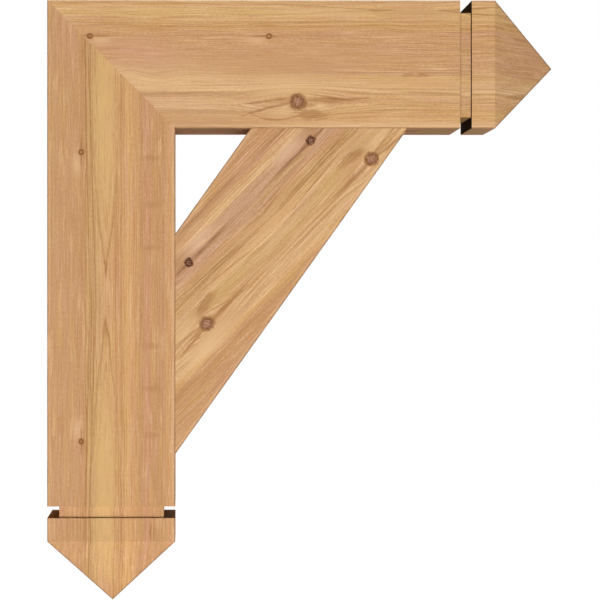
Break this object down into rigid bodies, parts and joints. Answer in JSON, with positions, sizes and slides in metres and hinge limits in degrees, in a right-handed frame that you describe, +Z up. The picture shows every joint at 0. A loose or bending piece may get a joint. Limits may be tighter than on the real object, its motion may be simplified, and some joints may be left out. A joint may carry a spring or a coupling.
{
  "type": "eave bracket",
  "caption": "Mitred cedar timber bracket with a diagonal brace and four-sided pointed ends, fixed to a wall under an eave, soffit, porch or gable.",
  "frame": {"origin": "where the wall face (the post's back, x = 0) meets the soffit face (the beam's top, z = 0), on the bracket's centre plane", "axes": "+X out from the wall along the beam, +Z up, +Y square to both across the timber's thickness; the side seen in the picture is the one at -Y"},
  "size_m": [0.5588, 0.1396, 0.6604],
  "materials": {
    "cedar": "planed western red cedar, bare, with fine grain and small knots",
    "hardwood_dowel": "bare fluted beech",
    "coated_steel": "dull bronze-brown exterior screw coating"
  },
  "bodies": {
    "root": {"post": "cedar", "beam": "cedar", "brace": "cedar", "mitre_dowels": "hardwood_dowel", "brace_foot_dowels": "hardwood_dowel", "brace_head_dowels": "hardwood_dowel", "mitre_screws": "coated_steel", "brace_foot_screws": "coated_steel", "brace_head_screws": "coated_steel"}
  },
  "joints": []
}
